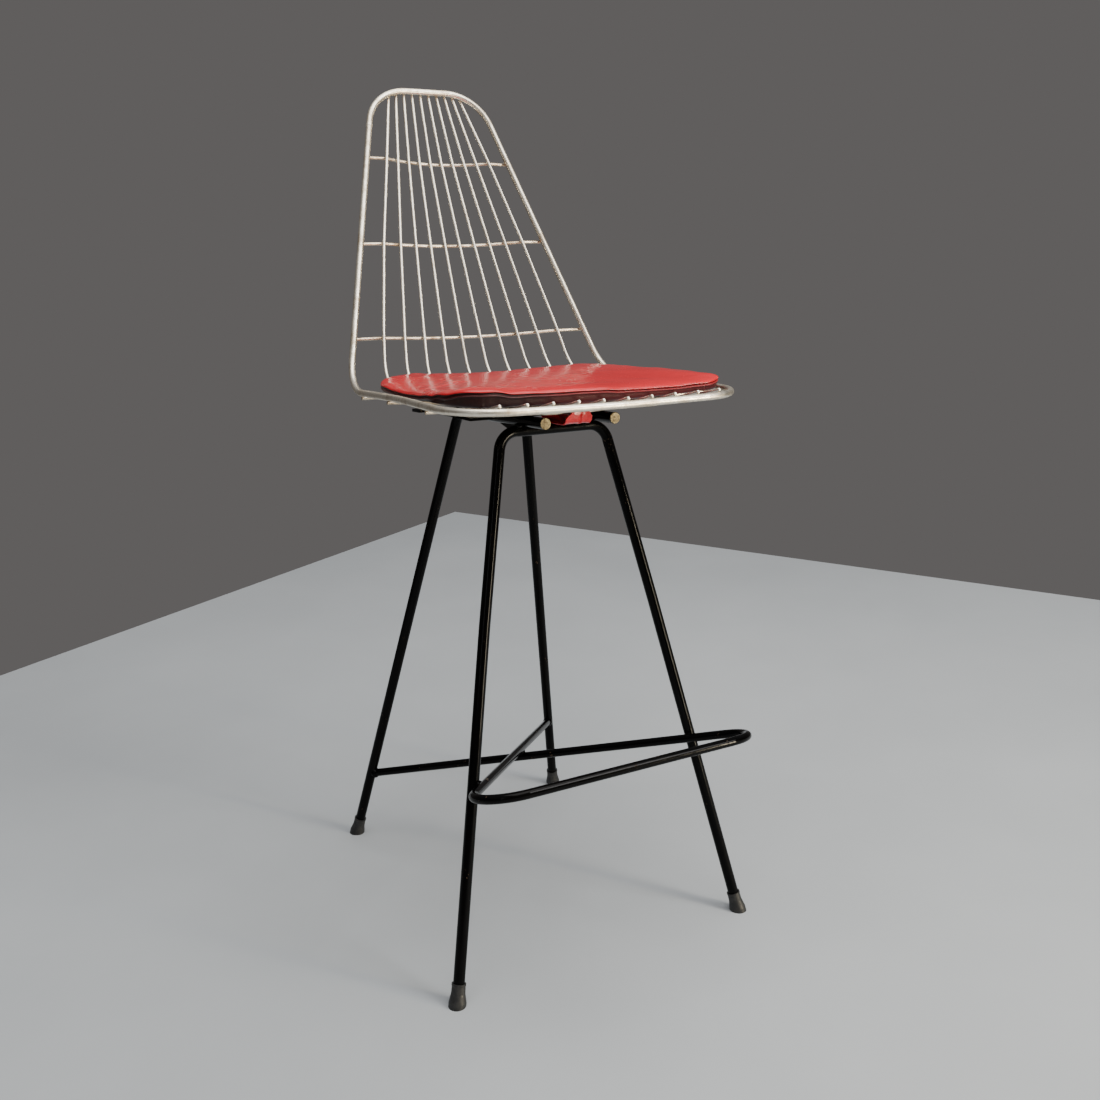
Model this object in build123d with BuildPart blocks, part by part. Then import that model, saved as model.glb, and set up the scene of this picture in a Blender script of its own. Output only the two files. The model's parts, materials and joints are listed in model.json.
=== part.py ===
"""Bar stool: a bent-tube front leg frame, two rear legs whose tops run forward over it as
seat rails, a bent-rod footrest that braces the legs, and a wire seat shell with a strapped-on
cushion on the rails.

Millimetres, +Z up, the sitter faces -Y. The origin is on the floor, under the middle of the
stool's overall box. Seat and back share one side profile: "along" is measured from the corner
where the seat line meets the back line, and "depth" is measured out of the shell, so it is
downwards under the seat and rearwards behind the back.
"""

import os
from math import asin, atan2, cos, hypot, radians, sin, sqrt, tan

from build123d import *

os.makedirs("parts", exist_ok=True)

# Legs: round steel tube. The front legs and their top bar are one tube, drawn in a little
# above the knee. Each rear leg bends forward at its top into a rail that lies on that bar.
tube_radius = 8.0
tube_wall = 1.5
front_foot = Vector(235, -269.1, 0)
front_knee = Vector(139.1, -165.1, 480)
front_corner = Vector(84, -109.6, 741)
rear_foot = Vector(193.5, 237.9, 0)
rear_corner_x, rear_corner_y = 57.9, 88.0
rail_end_x, rail_end_y = 55.3, -187.0
rail_rake = radians(3.7)
leg_bend_radius = 30.0
knee_bend_radius = 1500.0
contact_gap = 0.05

# Gusset plates under the rails, behind the top bar
gusset_thickness = 3.0
gusset_rear_y = -50.0

# Foot caps
cap_height = 29.0
cap_floor = 7.0
cap_top_radius = 9.4
cap_collar_radius = 9.9
cap_bottom_radius = 12.2

# Footrest: one solid rod, bent to a triangle whose sides cross behind the front legs
rod_radius = 6.25
footrest_corner = Vector(261.8, -336.6, 316)
footrest_left_end_height = 113.4
footrest_right_end_height = 137.4
footrest_bend_radius = 50.0

# Shell side profile
rim_radius = 5.0
wire_radius = 2.5
shell_corner_y, shell_corner_z = 115.1, 782.7
seat_rake = radians(2.2)
back_recline = radians(25.0)
seat_length = 394.6
back_length = 515.0
rim_bend_radius = 76.0
rim_corner_half_width = 224.3
rim_front_half_width = 223.7
rim_top_half_width = 95.0
rim_side_crown = 4.0
rim_front_dip = 2.8
rim_joint_along = 448.0
rim_joint_gap = 1.0

# Wires: five each side of the middle, at odd multiples of a half pitch
wire_multiples = (-9, -7, -5, -3, -1, 1, 3, 5, 7, 9)
half_pitch_top, half_pitch_corner, half_pitch_front = 7.3, 18.2, 18.7
outer_wire_depth = 2.0
shell_cup = 13.0
# Where the wires start up to the front rim: the outermost, and how much earlier in the middle
wire_rise_along, wire_rise_lead = 350.0, 35.0
wire_rise_radius = 30.0
wire_converge_along = 396.0
seat_cross_along = {"front": 292.0, "middle": 157.0, "rear": 54.6}
# Back cross wires: along at the left and right rim, because they were welded on a little askew
back_cross_along = {"top": (394.0, 388.6), "middle": (242.6, 245.4), "bottom": (84.2, 85.0)}
# How far the outermost wires stand outside an even fan, by their place along the back
wire_bow_along = (0.0, 87.0, 245.0, 515.0)
wire_bow_out = (2.5, 6.5, 6.5, -2.0)
wire_bow_radius = 1200.0
cross_bend_radius, cross_end_radius = 120.0, 40.0
weld_gap = 0.12
cross_wire_gap = 0.3

# Flat steel cross straps between the rails and the shell
strap_width, strap_thickness = 25.0, 4.0
strap_bend_radius = 12.0
front_strap_y, rear_strap_y = -139.0, 58.0
front_strap_half_span, front_strap_flat, front_strap_shelf = 222.5, 150.0, 18.0
rear_strap_half_span, rear_strap_flat, rear_strap_shelf = 124.0, 78.0, 24.0
# How far the raised ends stand below the rim and the cross wire that they carry
front_strap_drop, rear_strap_drop = 2.5, 0.4
rear_strap_hold_x = 99.0

# Cushion and its strap
cushion_half_width = 212.0
cushion_shift = 5.0
cushion_bottom_depth, cushion_seam_depth, cushion_top_depth = -2.4, -12.5, -25.0
cushion_front_along = 349.0
cushion_rear_turn = radians(25)
cushion_cover = 1.5
cushion_front_radius, cushion_rear_radius = 48.0, 75.0
loop_width, loop_thickness = 28.0, 2.0
loop_front_y, loop_rear_y, loop_bottom_z = -186.6, -114.0, 757.5
loop_bend_radius = 9.0


def mirrored(point):
    """The same point on the other side of the stool."""
    return Vector(-point.X, point.Y, point.Z)


def at_height(foot, corner, height):
    """The point of a leg's centre line at a height above the floor."""
    return foot + (corner - foot) * (height / (corner.Z - foot.Z))


def seat_point(x, along, depth):
    """A point given along the seat line, out of the shell by depth."""
    y = shell_corner_y - along * cos(seat_rake) - depth * sin(seat_rake)
    z = shell_corner_z + along * sin(seat_rake) - depth * cos(seat_rake)
    return Vector(x, y, z)


def back_point(x, along, depth):
    """A point given along the back line, out of the shell by depth."""
    y = shell_corner_y + along * sin(back_recline) + depth * cos(back_recline)
    z = shell_corner_z + along * cos(back_recline) - depth * sin(back_recline)
    return Vector(x, y, z)


def corner_point(x, depth):
    """Where the seat line and the back line meet when both are moved out by depth."""
    seat_out = (-sin(seat_rake), -cos(seat_rake))
    back_out = (cos(back_recline), -sin(back_recline))
    share = depth / (1 + seat_out[0] * back_out[0] + seat_out[1] * back_out[1])
    y = shell_corner_y + share * (seat_out[0] + back_out[0])
    z = shell_corner_z + share * (seat_out[1] + back_out[1])
    return Vector(x, y, z)


def rim_half_width(along):
    """Half the width between the rim's sides, along the back line."""
    taper = (rim_corner_half_width - rim_top_half_width) / back_length
    return rim_corner_half_width - taper * along


def rim_side_depth(along):
    """How far the rim's side stands below the seat line: negative, because it is crowned."""
    middle = seat_length / 2
    return -rim_side_crown * (1 - abs(along - middle) / middle)


def rim_front_depth(x):
    """How far the rim's front edge dips below the seat line."""
    return rim_front_dip * (1 - abs(x) / rim_front_half_width)


def wire_depth(multiple):
    """Depth of a wire's centre: the shell is cupped, deepest in the middle."""
    return outer_wire_depth + shell_cup * (1 - (multiple / 9) ** 2)


def half_pitch(along):
    """Half the wire pitch along the back line, where the wires fan in towards the top."""
    return half_pitch_corner + (half_pitch_top - half_pitch_corner) * along / back_length


def wire_x(multiple, along):
    """A wire's place across the back: an even fan, with the outermost wires bowed outwards."""
    spans = zip(wire_bow_along, wire_bow_along[1:], wire_bow_out, wire_bow_out[1:])
    for low, high, bow_low, bow_high in spans:
        if along <= high or high == wire_bow_along[-1]:
            bow = bow_low + (bow_high - bow_low) * (along - low) / (high - low)
            break
    share = (multiple / 9) ** 4
    return multiple * half_pitch(along) + (bow * share if multiple > 0 else -bow * share)


def rail_axis_z(y):
    """Height of the rails' centre line: they rest on the front frame's top bar, raked."""
    rise = (2 * tube_radius + contact_gap) / cos(rail_rake)
    return front_corner.Z + rise + (front_corner.Y - y) * tan(rail_rake)


def rail_point(sign, y):
    """A point of a rail's centre line; the rails draw together a little towards the front."""
    spread = (rear_corner_x - rail_end_x) * (y - rail_end_y) / (rear_corner_y - rail_end_y)
    return Vector(sign * (rail_end_x + spread), y, rail_axis_z(y))


def across(path):
    """The plane square to a path at its start."""
    return Plane(origin=path.line @ 0, z_dir=path.line % 0)


def save(piece, name):
    """Label a finished piece and write its STEP file."""
    piece.label = name
    export_step(piece, f"parts/{name}.step")


def rod(points, radii, radius, bore=0.0):
    """A round bar, or a tube where a bore is given, bent at each inner point."""
    with BuildPart() as bar:
        with BuildLine() as path:
            if radii:
                FilletPolyline(*points, radius=radii)
            else:
                Line(*points)
        with BuildSketch(across(path)):
            Circle(radius)
            if bore:
                Circle(bore, mode=Mode.SUBTRACT)
        sweep()
    return bar.part


# --- Legs ---------------------------------------------------------------------------------

sides = {"left": -1, "right": 1}
foot_end = at_height(front_foot, front_knee, cap_floor)
front_route = [
    mirrored(foot_end),
    mirrored(front_knee),
    mirrored(front_corner),
    front_corner,
    front_knee,
    foot_end,
]
front_radii = [knee_bend_radius, leg_bend_radius, leg_bend_radius, knee_bend_radius]
front_frame = rod(front_route, front_radii, tube_radius, tube_radius - tube_wall)
save(front_frame, "front_leg_frame")

legs = {}
for side, sign in sides.items():
    rear_corner = rail_point(sign, rear_corner_y)
    foot = rear_foot if sign > 0 else mirrored(rear_foot)
    legs[f"rear_{side}"] = (foot, rear_corner)
    route = [at_height(foot, rear_corner, cap_floor), rear_corner, rail_point(sign, rail_end_y)]
    rear_leg = rod(route, [leg_bend_radius], tube_radius, tube_radius - tube_wall)
    save(rear_leg, f"rear_leg_{side}")
legs["front_left"] = (mirrored(front_foot), mirrored(front_knee))
legs["front_right"] = (front_foot, front_knee)

top_bar_core = rod([mirrored(front_corner), front_corner], None, tube_radius)
rail_cores = {
    side: rod([rail_point(sign, rail_end_y), rail_point(sign, rear_corner_y)], None, tube_radius)
    for side, sign in sides.items()
}
leg_cores = {
    name: rod([foot, at_height(foot, top, 450)], None, tube_radius)
    for name, (foot, top) in legs.items()
}


# --- Foot caps: turned on the leg's own axis and trimmed level with the floor ---------------

for name, (foot, corner) in legs.items():
    leg_direction = (corner - foot).normalized()
    radial = leg_direction.cross(Vector(1, 0, 0)).normalized()
    bore_floor = cap_floor / leg_direction.Z
    with BuildPart() as cap:
        with BuildSketch(Plane(foot, x_dir=radial, z_dir=radial.cross(leg_direction))):
            with BuildLine():
                Polyline(
                    (tube_radius, bore_floor),
                    (tube_radius, cap_height),
                    (cap_collar_radius, cap_height),
                    (cap_collar_radius, cap_height - 2.5),
                    (cap_top_radius, cap_height - 3.5),
                    (cap_top_radius + 0.4, cap_height * 0.55),
                    (cap_bottom_radius - 0.6, 7),
                    (cap_bottom_radius, 4),
                    (cap_bottom_radius, -6),
                    (0, -6),
                    (0, bore_floor),
                    close=True,
                )
            make_face()
        revolve(axis=Axis(foot, leg_direction))
        split(bisect_by=Plane.XY, keep=Keep.TOP)
    save(cap.part, f"foot_cap_{name}")


# --- Rail end plugs and gussets ------------------------------------------------------------

rail_direction = Vector(0, -cos(rail_rake), sin(rail_rake))
gussets = {}
for side, sign in sides.items():
    rail_end = rail_point(sign, rail_end_y)
    outward = (rail_end - rail_point(sign, rear_corner_y)).normalized()
    with BuildPart() as plug:
        with BuildSketch(Plane(rail_end, z_dir=outward)):
            Circle(tube_radius - tube_wall - contact_gap)
        extrude(amount=-12)
        with BuildSketch(Plane(rail_end, z_dir=outward)):
            Circle(tube_radius)
        extrude(amount=1.6)
        chamfer(plug.faces().sort_by(Axis(rail_end, outward))[-1].edges(), 0.5)
    save(plug.part, f"rail_plug_{side}")

    middle_x = rail_point(sign, (gusset_rear_y + front_corner.Y) / 2).X
    with BuildPart() as gusset:
        with BuildSketch(Plane.YZ.offset(middle_x)):
            with BuildLine():
                Polyline(
                    (gusset_rear_y, rail_axis_z(gusset_rear_y) - tube_radius + 1),
                    (front_corner.Y + 2, rail_axis_z(front_corner.Y) - tube_radius + 1),
                    (front_corner.Y + 4, front_corner.Z - 6),
                    close=True,
                )
            make_face()
        extrude(amount=gusset_thickness / 2, both=True)
        add(rail_cores[side], mode=Mode.SUBTRACT)
        add(top_bar_core, mode=Mode.SUBTRACT)
    gussets[side] = gusset.part
    save(gusset.part, f"rail_gusset_{side}")


# --- Footrest ------------------------------------------------------------------------------

left_end = at_height(*legs["rear_left"], footrest_left_end_height)
right_end = at_height(*legs["rear_right"], footrest_right_end_height)
footrest_route = [left_end, footrest_corner, mirrored(footrest_corner), right_end]
with BuildPart() as footrest:
    add(rod(footrest_route, [footrest_bend_radius] * 2, rod_radius))
    add(leg_cores["rear_left"], mode=Mode.SUBTRACT)
    add(leg_cores["rear_right"], mode=Mode.SUBTRACT)
save(footrest.part, "footrest_rod")


# --- Seat rim: one loop of rod, butt-welded on its left side below the top bend -------------

def rim_side(sign):
    """The rim's bend points on one side, from the back corner to the front corner."""
    return [
        corner_point(sign * rim_corner_half_width, 0),
        seat_point(sign * (rim_front_half_width + 0.3), seat_length / 2, -rim_side_crown),
        seat_point(sign * rim_front_half_width, seat_length, 0),
    ]


joint_low = rim_joint_along - rim_joint_gap / 2
joint_high = rim_joint_along + rim_joint_gap / 2
rim_route = [
    back_point(-rim_half_width(joint_low), joint_low, 0),
    *rim_side(-1),
    seat_point(0, seat_length, rim_front_dip),
    *reversed(rim_side(1)),
    back_point(rim_top_half_width, back_length, 0),
    back_point(-rim_top_half_width, back_length, 0),
    back_point(-rim_half_width(joint_high), joint_high, 0),
]
side_radii = [rim_bend_radius, 1500, rim_bend_radius]
rim_radii = [*side_radii, 2500, *reversed(side_radii), rim_bend_radius, rim_bend_radius]
rim = rod(rim_route, rim_radii, rim_radius)
save(rim, "seat_rim")


# --- Shell wires ---------------------------------------------------------------------------

def rim_curve_back(x, straight_half_width):
    """How far the rim has curved back from its top or front edge at this x."""
    beyond = max(0.0, abs(x) - straight_half_width)
    return rim_bend_radius - sqrt(rim_bend_radius**2 - beyond**2)


side_slope = atan2(rim_corner_half_width - rim_top_half_width, back_length)
top_straight = rim_top_half_width - rim_bend_radius * tan(radians(45) - side_slope / 2)
front_straight = rim_front_half_width - rim_bend_radius


def wire_route(multiple):
    """Bend points and radii of one wire, from its top end to its tip over the front rim."""
    depth = wire_depth(multiple)
    behind_rim = rim_radius + wire_radius + weld_gap
    top_x = wire_x(multiple, back_length)
    top_along = back_length - rim_curve_back(top_x, top_straight) + 2
    points = [back_point(top_x, top_along, behind_rim)]
    radii = []
    if abs(depth - behind_rim) > 0.2:
        x = wire_x(multiple, wire_converge_along)
        points.append(back_point(x, wire_converge_along, depth))
        radii.append(250)
    for along in (wire_bow_along[2], wire_bow_along[1]):
        points.append(back_point(wire_x(multiple, along), along, depth))
        radii.append(wire_bow_radius)
    points.append(corner_point(wire_x(multiple, 0), depth))
    radii.append(rim_bend_radius + depth)

    front_x = multiple * half_pitch_front
    rise_along = wire_rise_along - wire_rise_lead * (1 - (multiple / 9) ** 2)
    points.append(seat_point(front_x, rise_along, depth))
    radii.append(wire_rise_radius)
    run = seat_length - rim_curve_back(front_x, front_straight) - rise_along
    rise = depth - rim_front_depth(front_x)
    reach = hypot(run, rise)
    slope = atan2(rise, run) + asin(behind_rim / reach)
    length = sqrt(reach**2 - behind_rim**2) + 3
    tip_along = rise_along + length * cos(slope)
    points.append(seat_point(front_x, tip_along, depth - length * sin(slope)))
    return points, radii


wires = []
for number, multiple in enumerate(wire_multiples, start=1):
    points, radii = wire_route(multiple)
    with BuildPart() as wire:
        add(rod(points, radii, wire_radius))
        fillet(wire.faces().sort_by(Axis.Y)[0].edges(), 1.6)
    wires.append(wire.part)
    save(wire.part, f"shell_wire_{number:02d}")


# --- Cross wires: cupped between the outer wires, straight out to the rim --------------------

def cross_wire(wire_points, ends):
    """A cross wire that touches each shell wire and ends against the rim."""
    bends = [cross_end_radius] + [cross_bend_radius] * (len(wire_points) - 2) + [cross_end_radius]
    return rod([ends[0], *wire_points, ends[1]], bends, wire_radius)


crossing_step = 2 * wire_radius + cross_wire_gap
cross_end_depth = rim_radius + wire_radius + weld_gap
cross_wires = {}
for level, (left_along, right_along) in back_cross_along.items():
    middle = (left_along + right_along) / 2
    skew = (right_along - left_along) / (2 * rim_half_width(middle))
    wire_points = []
    for multiple in wire_multiples:
        along = middle + skew * wire_x(multiple, middle)
        depth = wire_depth(multiple) + crossing_step
        wire_points.append(back_point(wire_x(multiple, along), along, depth))
    ends = [
        back_point(-rim_half_width(left_along) - 2, left_along, cross_end_depth),
        back_point(rim_half_width(right_along) + 2, right_along, cross_end_depth),
    ]
    cross_wires[f"back_cross_wire_{level}"] = cross_wire(wire_points, ends)

for level, along in seat_cross_along.items():
    share = along / seat_length
    wire_points = []
    for multiple in wire_multiples:
        x = wire_x(multiple, 0) * (1 - share) + multiple * half_pitch_front * share
        wire_points.append(seat_point(x, along, wire_depth(multiple) + crossing_step))
    end_depth = cross_end_depth + rim_side_depth(along)
    half_width = rim_front_half_width + 2
    ends = [seat_point(sign * half_width, along, end_depth) for sign in (-1, 1)]
    cross_wires[f"seat_cross_wire_{level}"] = cross_wire(wire_points, ends)

for name, piece in cross_wires.items():
    save(piece, name)


# --- Cross straps: flat bar lying on the rails, with raised ends -----------------------------

def cross_strap(y, half_span, flat_half_span, shelf, end_height):
    """Flat bar across the rails; shelf is the length of each raised, level end."""
    rail_top = Vector(0, y, rail_axis_z(y)) + Vector(0, sin(rail_rake), cos(rail_rake)) * (
        tube_radius + contact_gap + strap_thickness / 2
    )
    side_view = Plane(rail_top, x_dir=Vector(1, 0, 0), z_dir=rail_direction)
    points = [
        (-half_span, end_height),
        (shelf - half_span, end_height),
        (-flat_half_span, 0),
        (flat_half_span, 0),
        (half_span - shelf, end_height),
        (half_span, end_height),
    ]
    with BuildPart() as strap:
        with BuildLine(side_view) as path:
            FilletPolyline(*points, radius=strap_bend_radius)
        start = Plane(path.line @ 0, x_dir=rail_direction, z_dir=path.line % 0)
        with BuildSketch(start):
            Rectangle(strap_width, strap_thickness)
        sweep()
    return strap.part


def strap_end_height(y, under_z):
    """Height of a strap's end above its flat middle, so that its top face meets under_z."""
    return under_z - contact_gap - rail_axis_z(y) - tube_radius - contact_gap - strap_thickness


front_along = (shell_corner_y - front_strap_y) / cos(seat_rake)
rim_underside = seat_point(0, front_along, rim_side_depth(front_along)).Z - rim_radius
front_end_height = strap_end_height(front_strap_y, rim_underside) - front_strap_drop
front_strap = cross_strap(
    front_strap_y, front_strap_half_span, front_strap_flat, front_strap_shelf, front_end_height
)
save(front_strap, "front_cross_strap")

rear_share = rear_strap_hold_x / (9 * half_pitch_corner)
rear_depth = wire_depth(9) + crossing_step + wire_radius + shell_cup * (1 - rear_share**2)
wire_underside = seat_point(0, seat_cross_along["rear"], rear_depth).Z
rear_end_height = strap_end_height(rear_strap_y, wire_underside) - rear_strap_drop
rear_strap = cross_strap(
    rear_strap_y, rear_strap_half_span, rear_strap_flat, rear_strap_shelf, rear_end_height
)
save(rear_strap, "rear_cross_strap")


# --- Weld beads ------------------------------------------------------------------------------

def bead(centre, radius, *joined):
    """The weld metal around a joint: a ball, less the pieces that it joins."""
    with BuildPart() as ball:
        with Locations(Location(centre, (90, 0, 0))):
            Sphere(radius)
        for piece in joined:
            add(piece, mode=Mode.SUBTRACT)
    return ball.part


def nearest_on_line(start, end, target):
    """The point of a straight line that is nearest to the target."""
    direction = (end - start).normalized()
    return start + direction * (target - start).dot(direction)


rail_welds = []
for side, sign in sides.items():
    touch = Vector(rail_point(sign, front_corner.Y).X, front_corner.Y, front_corner.Z + tube_radius)
    rail_welds.append(bead(touch, 6.5, top_bar_core, rail_cores[side], gussets[side]))
save(Compound(children=rail_welds), "rail_welds")

on_side = {"left": left_end, "right": right_end}
for _ in range(8):
    on_side["left"] = nearest_on_line(left_end, footrest_corner, on_side["right"])
    on_side["right"] = nearest_on_line(right_end, mirrored(footrest_corner), on_side["left"])

side_cores = [
    rod([left_end, footrest_corner], None, rod_radius),
    rod([right_end, mirrored(footrest_corner)], None, rod_radius),
]

footrest_welds = []
for side, start in (("right", left_end), ("left", right_end)):
    corner = footrest_corner if side == "right" else mirrored(footrest_corner)
    foot, top = legs[f"front_{side}"]
    on_leg = at_height(foot, top, 280)
    for _ in range(4):
        on_rod = nearest_on_line(start, corner, on_leg)
        on_leg = nearest_on_line(foot, top, on_rod)
    touch = on_leg + (on_rod - on_leg).normalized() * tube_radius
    footrest_welds.append(bead(touch, 6.5, leg_cores[f"front_{side}"], *side_cores))
for side, start, corner in (
    ("left", left_end, footrest_corner),
    ("right", right_end, mirrored(footrest_corner)),
):
    touch = start + (corner - start).normalized() * tube_radius
    footrest_welds.append(bead(touch, rod_radius + 2.2, leg_cores[f"rear_{side}"], *side_cores))
crossing = (on_side["left"] + on_side["right"]) / 2
footrest_welds.append(bead(crossing, 6.0, *side_cores))
save(Compound(children=footrest_welds), "footrest_welds")

with BuildPart() as rim_weld:
    with BuildSketch(
        Plane(
            back_point(-rim_half_width(rim_joint_along), rim_joint_along, 0),
            z_dir=rim_route[1] - rim_route[0],
        )
    ):
        Circle(rim_radius + 0.6)
    extrude(amount=2.2, both=True)
    fillet(rim_weld.edges().filter_by(GeomType.CIRCLE), 0.5)
    add(rim, mode=Mode.SUBTRACT)
save(rim_weld.part, "rim_weld")


# --- Cushion ---------------------------------------------------------------------------------

def cushion_layer(low_depth, high_depth, inset):
    """The cushion between two depths, drawn in by inset at its outline."""

    def bend(depth):
        """Centre of the profile's bend and its radius at this depth."""
        tangent = rim_bend_radius * tan((radians(90) - back_recline - seat_rake) / 2)
        centre = seat_point(0, tangent, -rim_bend_radius)
        return centre, rim_bend_radius + depth

    def on_bend(depth, turn):
        """A point of the bend, turned up from where the seat line ends."""
        centre, radius = bend(depth)
        angle = seat_rake - turn
        return (centre.Y - radius * sin(angle), centre.Z - radius * cos(angle))

    def on_seat(depth):
        """The front end of the layer at this depth."""
        point = seat_point(0, cushion_front_along - inset, depth)
        return (point.Y, point.Z)

    rear_turn = cushion_rear_turn - inset / rim_bend_radius
    side_view = Plane(origin=(0, 0, 0), x_dir=(0, 1, 0), z_dir=(1, 0, 0))
    with BuildPart() as layer:
        with BuildSketch(side_view):
            with BuildLine():
                Line(on_seat(low_depth), on_bend(low_depth, 0))
                ThreePointArc(
                    on_bend(low_depth, 0),
                    on_bend(low_depth, rear_turn / 2),
                    on_bend(low_depth, rear_turn),
                )
                Line(on_bend(low_depth, rear_turn), on_bend(high_depth, rear_turn))
                ThreePointArc(
                    on_bend(high_depth, rear_turn),
                    on_bend(high_depth, rear_turn / 2),
                    on_bend(high_depth, 0),
                )
                Line(on_bend(high_depth, 0), on_seat(high_depth))
                Line(on_seat(high_depth), on_seat(low_depth))
            make_face()
        extrude(amount=cushion_half_width + 20, both=True)
        front_y = on_seat(low_depth)[0]
        rear_y = on_bend(low_depth, rear_turn)[0]
        with BuildSketch(Plane.XY.offset(700)):
            with Locations((cushion_shift, (front_y + rear_y) / 2)):
                Rectangle(2 * (cushion_half_width - inset), rear_y - front_y)
            corners = vertices().sort_by(Axis.Y)
            fillet(corners[:2], cushion_front_radius - inset)
            fillet(vertices().sort_by(Axis.Y)[-2:], cushion_rear_radius - inset)
        extrude(amount=200, mode=Mode.INTERSECT)
    return layer.part


core_low = cushion_bottom_depth - cushion_cover
core_high = cushion_top_depth + cushion_cover
with BuildPart() as cushion_core:
    add(cushion_layer(core_low, core_high, cushion_cover))
save(cushion_core.part, "cushion_core")

with BuildPart() as cushion_top:
    add(cushion_layer(cushion_seam_depth, cushion_top_depth, 0))
    add(cushion_core.part, mode=Mode.SUBTRACT)
save(cushion_top.part, "cushion_top_cover")

with BuildPart() as cushion_bottom:
    add(cushion_layer(cushion_bottom_depth, cushion_seam_depth, 0))
    add(cushion_core.part, mode=Mode.SUBTRACT)
save(cushion_bottom.part, "cushion_bottom_cover")


# --- Cushion strap: hangs between the two middle wires and passes under the front strap -------

def cushion_underside(y):
    """Height of the cushion's lower face."""
    return seat_point(0, (shell_corner_y - y) / cos(seat_rake), cushion_bottom_depth).Z


with BuildPart() as loop:
    with BuildLine() as path:
        FilletPolyline(
            (0, loop_front_y, cushion_underside(loop_front_y) - 0.3),
            (0, loop_front_y, loop_bottom_z),
            (0, loop_rear_y, loop_bottom_z),
            (0, loop_rear_y, cushion_underside(loop_rear_y) - 0.3),
            radius=loop_bend_radius,
        )
    with BuildSketch(across(path)):
        Rectangle(loop_width, loop_thickness)
    sweep()
save(loop.part, "cushion_strap")

stud_y = (loop_front_y + loop_rear_y) / 2
with BuildPart() as stud:
    with BuildSketch(Plane.XY.offset(loop_bottom_z - loop_thickness / 2)):
        with Locations((0, stud_y)):
            Circle(6)
    extrude(amount=-1.5)
    chamfer(stud.faces().sort_by(Axis.Z)[0].edges(), 0.6)
    with BuildSketch(Plane.XY.offset(loop_bottom_z + loop_thickness / 2)):
        with Locations((0, stud_y)):
            Circle(5)
    extrude(amount=1.5)
save(stud.part, "strap_press_stud")
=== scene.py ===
"""A bar stool with a wire shell, a bent-tube base and a strapped-on vinyl cushion.

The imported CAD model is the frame: its metal nodes stay as they are and get finishes here. The
cushion, its seams and its strap are built over their CAD solids. Metres, +Z up, the sitter
faces -Y.
"""

import json
import math

import bmesh
import bpy
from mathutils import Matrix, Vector, noise
from mathutils.bvhtree import BVHTree


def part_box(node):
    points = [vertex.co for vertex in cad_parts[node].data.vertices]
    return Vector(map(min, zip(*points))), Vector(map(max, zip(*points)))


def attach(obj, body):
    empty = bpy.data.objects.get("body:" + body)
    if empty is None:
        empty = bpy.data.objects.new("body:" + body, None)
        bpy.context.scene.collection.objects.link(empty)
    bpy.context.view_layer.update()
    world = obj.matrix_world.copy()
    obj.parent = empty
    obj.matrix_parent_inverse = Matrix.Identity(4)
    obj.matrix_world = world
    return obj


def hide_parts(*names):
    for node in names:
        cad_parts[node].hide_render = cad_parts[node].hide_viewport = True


MM = 0.001

# Camera fitted to the photo, as an offset from the middle of the feet
CAMERA_FROM_FEET = Vector((-0.8064, -1.5415, 1.012))
CAMERA_TURN = (math.radians(79.54), 0.0, math.radians(-28.97))
CAMERA_LENS = 38.27
CAMERA_SHIFT_Y = -0.0892

# Floor: a square whose far corner lies behind the stool, as a room's corner would
FLOOR_SIDE = 11.0
FLOOR_FAR_CORNER = (0.942, 2.332)
FLOOR_TURN = 31.6

# Cushion: a top panel, a side band between two welts and an underside
FRONT_LEFT_RADIUS, FRONT_RIGHT_RADIUS = 48.0 * MM, 36.0 * MM
REAR_LEFT_RADIUS, REAR_RIGHT_RADIUS = 84.0 * MM, 75.0 * MM
SIDE_PULL_IN = 1.0 * MM
WELT_GAP = 3.6 * MM
TOP_ROLL = 6.5 * MM
TOP_ROLL_WIDTH = 30.0 * MM
TOP_CROWN = 3.0 * MM
TOP_INSET = 2.4 * MM
UNDER_INSET = 9.0 * MM
UNDER_SAG = 9.0 * MM
FRONT_SAG = 5.0 * MM
SAG_LIMIT = 10.0 * MM
UNDER_LIFT = 0.3 * MM
UNDER_RIPPLE = 0.3 * MM
UNDER_SAG_REACH = 60.0 * MM
TOP_PUCKER = 0.9 * MM
TOP_PUCKER_REACH = 14.0 * MM
TOP_LUMPS = 1.2 * MM
TOP_LUMPS_REACH = 50.0 * MM
UPPER_WELT_RIPPLE = 0.35 * MM
LOWER_WELT_RIPPLE = 0.5 * MM
WELT_PARTING = 1.6 * MM
WELT_PARTING_FROM, WELT_PARTING_REACH = 50.0 * MM, 120.0 * MM
FRONT_FROM, FRONT_REACH = 90.0 * MM, 130.0 * MM
GRID_ALONG_X = 96
GRID_ALONG_Y = 78
INFLATE_CAP = 3.0 * MM
INFLATE_FRAMES = 20
DOWNWARD_SHARE = 0.25

# Where the side vinyl's painted shade towards the left is full and where it ends, and how much its
# roughness varies
PAINTED_SHADE_FULL_UP_TO_X, PAINTED_SHADE_ENDS_FROM_X = -120.0 * MM, 20.0 * MM
SMEAR_RANGE = 0.1

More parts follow.
